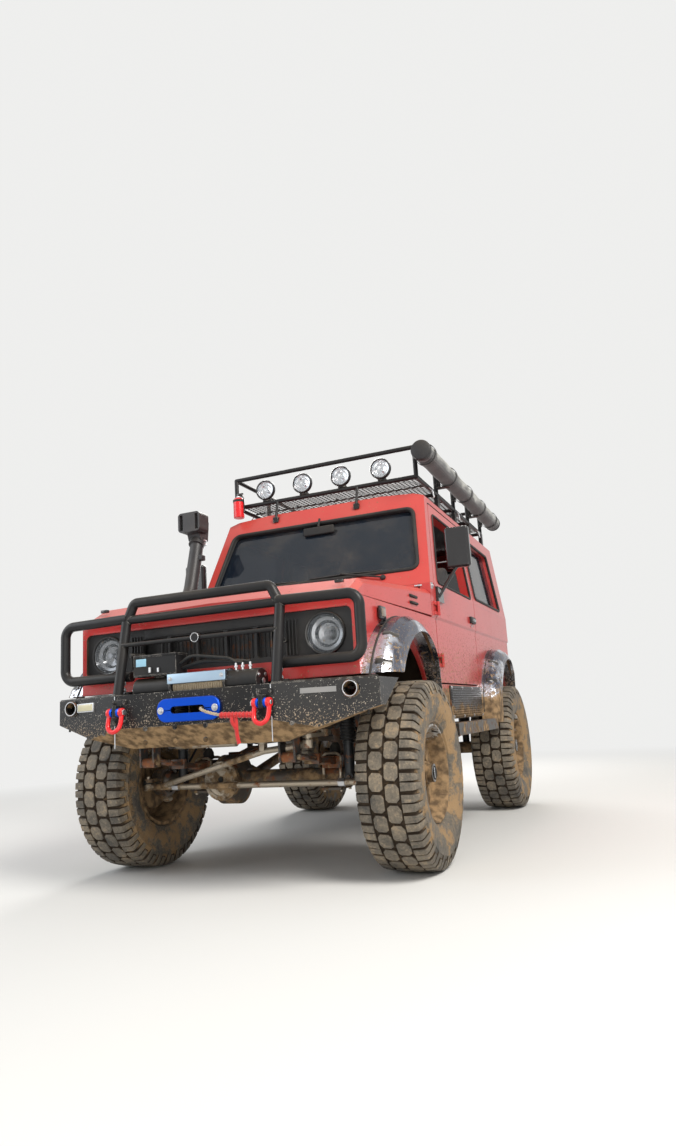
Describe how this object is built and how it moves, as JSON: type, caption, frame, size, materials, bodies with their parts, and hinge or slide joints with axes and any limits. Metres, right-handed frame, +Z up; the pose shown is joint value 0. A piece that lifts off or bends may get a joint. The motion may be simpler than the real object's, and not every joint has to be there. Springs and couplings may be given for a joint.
{
  "type": "lifted off-road 4x4",
  "caption": "Lifted short two-door 4x4 on leaf-sprung live axles, with winch bumper, bull bar, snorkel, roof basket with lamps and mud tyres; doors, lids, wheels and steering move.",
  "frame": {"origin": "on the level floor under the middle of the vehicle's length and width", "axes": "+Z up, the vehicle faces -Y, its left side (driver's side) is +X"},
  "size_m": [1.754, 3.5952, 2.152],
  "materials": {
    "body_paint": "sun-faded red gloss with mud low down",
    "black_steel": "black powder coat",
    "frame_steel": "dark painted steel with rust and mud",
    "axle_steel": "rusty, muddy cast steel",
    "steering_steel": "bare bar with tan mud",
    "glass": "clear tinted glass",
    "lamp_glass": "clear lamp glass over a bright reflector",
    "lens_red": "red lens",
    "grille_black": "matt black",
    "trim_black": "matt black plastic",
    "mirror_black": "gloss black plastic",
    "seat_cloth": "dark woven cloth",
    "bag_cloth": "weathered grey bag cloth",
    "bumper_black": "speckled black with mud below",
    "fairlead_blue": "blue anodised aluminium",
    "shackle_red": "red powder coat with bare pins",
    "winch_black": "satin black",
    "flare_chrome": "bright metal under mud spatter",
    "slider_steel": "worn steel, muddy",
    "tyre_rubber": "mud-caked rubber",
    "rim_silver": "silver painted steel, muddy",
    "exhaust_steel": "rusty pipe",
    "tank_plastic": "black plastic",
    "engine_iron": "dull iron",
    "damper_paint": "dark paint and rubber gaiter",
    "extinguisher_red": "gloss red",
    "rope_tan": "beige synthetic rope",
    "lens_amber": "amber lens"
  },
  "bodies": {
    "vehicle": {"awning": "bag_cloth", "body_tub": "body_paint", "bull_bar": "black_steel", "chassis_frame": "frame_steel", "dashboard": "trim_black", "drivetrain": "axle_steel", "engine": "engine_iron", "exhaust": "exhaust_steel", "extinguisher": "extinguisher_red", "fairlead": "fairlead_blue", "fixed_glass": "glass", "floor_pan": "body_paint", "front_axle": "axle_steel", "front_bumper": "bumper_black", "front_wings": "body_paint", "fuel_tank": "tank_plastic", "grille": "grille_black", "hard_top": "body_paint", "headlamps": "lamp_glass", "leaf_springs": "axle_steel", "marker_lamps": "lens_amber", "rack_deck": "black_steel", "rack_lamps": "lamp_glass", "rear_axle": "axle_steel", "rear_bumper": "bumper_black", "recovery_shackles": "shackle_red", "rock_sliders": "slider_steel", "roof_rack": "black_steel", "seats": "seat_cloth", "shock_absorbers": "damper_paint", "snorkel": "trim_black", "steering_wheel": "trim_black", "tail_lamps": "lens_red", "wheel_flares": "flare_chrome", "winch": "winch_black", "winch_rope": "rope_tan", "windscreen_frame": "body_paint"},
    "bonnet": {"bonnet": "body_paint"},
    "door_left": {"door_left": "body_paint", "mirror_left": "mirror_black"},
    "door_right": {"door_right": "body_paint", "door_right_glass": "glass", "mirror_right": "mirror_black"},
    "tailgate": {"tailgate": "body_paint", "tailgate_glass": "glass", "spare_tyre": "tyre_rubber", "spare_rim": "rim_silver"},
    "knuckle_left": {"knuckle_left": "axle_steel"},
    "knuckle_right": {"knuckle_right": "axle_steel"},
    "steering_links": {"steering_links": "steering_steel"},
    "pitman_arm": {"pitman_arm": "steering_steel"},
    "wheel_fl": {"tyre_fl": "tyre_rubber", "rim_fl": "rim_silver"},
    "wheel_fr": {"tyre_fr": "tyre_rubber", "rim_fr": "rim_silver"},
    "wheel_rl": {"tyre_rl": "tyre_rubber", "rim_rl": "rim_silver"},
    "wheel_rr": {"tyre_rr": "tyre_rubber", "rim_rr": "rim_silver"}
  },
  "joints": [
    {"name": "steer_left", "type": "hinge", "parent": "vehicle", "child": "knuckle_left", "pos_m": [0.57, -1.08835, 0.3935], "axis": [0, 0, 1], "range_deg": [-26, 26]},
    {"name": "steer_right", "type": "hinge", "parent": "vehicle", "child": "knuckle_right", "pos_m": [-0.57, -1.08835, 0.3935], "axis": [0, 0, 1], "range_deg": [-26, 26]},
    {"name": "steering_link_swivel", "type": "hinge", "parent": "knuckle_left", "child": "steering_links", "pos_m": [0.57, -1.23835, 0.3935], "axis": [0, 0, 1], "range_deg": [-26, 26]},
    {"name": "pitman_swing", "type": "hinge", "parent": "vehicle", "child": "pitman_arm", "pos_m": [0.388, -1.35035, 0.552], "axis": [0, 0, 1], "range_deg": [-26, 26]},
    {"name": "wheel_fl_spin", "type": "hinge", "parent": "knuckle_left", "child": "wheel_fl", "pos_m": [0.685, -1.08835, 0.3935], "axis": [1, 0, 0], "continuous": true},
    {"name": "wheel_fr_spin", "type": "hinge", "parent": "knuckle_right", "child": "wheel_fr", "pos_m": [-0.685, -1.08835, 0.3935], "axis": [1, 0, 0], "continuous": true},
    {"name": "wheel_rl_spin", "type": "hinge", "parent": "vehicle", "child": "wheel_rl", "pos_m": [0.685, 0.94165, 0.3935], "axis": [1, 0, 0], "continuous": true},
    {"name": "wheel_rr_spin", "type": "hinge", "parent": "vehicle", "child": "wheel_rr", "pos_m": [-0.685, 0.94165, 0.3935], "axis": [1, 0, 0], "continuous": true},
    {"name": "door_left_swing", "type": "hinge", "parent": "vehicle", "child": "door_left", "pos_m": [0.704, -0.50035, 0.9], "axis": [0, 0, -1], "range_deg": [0, 60]},
    {"name": "door_right_swing", "type": "hinge", "parent": "vehicle", "child": "door_right", "pos_m": [-0.704, -0.50035, 0.9], "axis": [0, 0, 1], "range_deg": [0, 60]},
    {"name": "tailgate_swing", "type": "hinge", "parent": "vehicle", "child": "tailgate", "pos_m": [-0.564, 1.51965, 0.852], "axis": [0, 0, 1], "range_deg": [0, 95]},
    {"name": "bonnet_lift", "type": "hinge", "parent": "vehicle", "child": "bonnet", "pos_m": [0, -0.59535, 1.275], "axis": [-1, 0, 0], "range_deg": [0, 55]}
  ],
  "couplings": [
    {"joint": "steer_right", "follows": "steer_left", "ratio": 1},
    {"joint": "steering_link_swivel", "follows": "steer_left", "ratio": -1},
    {"joint": "pitman_swing", "follows": "steer_left", "ratio": 1}
  ]
}
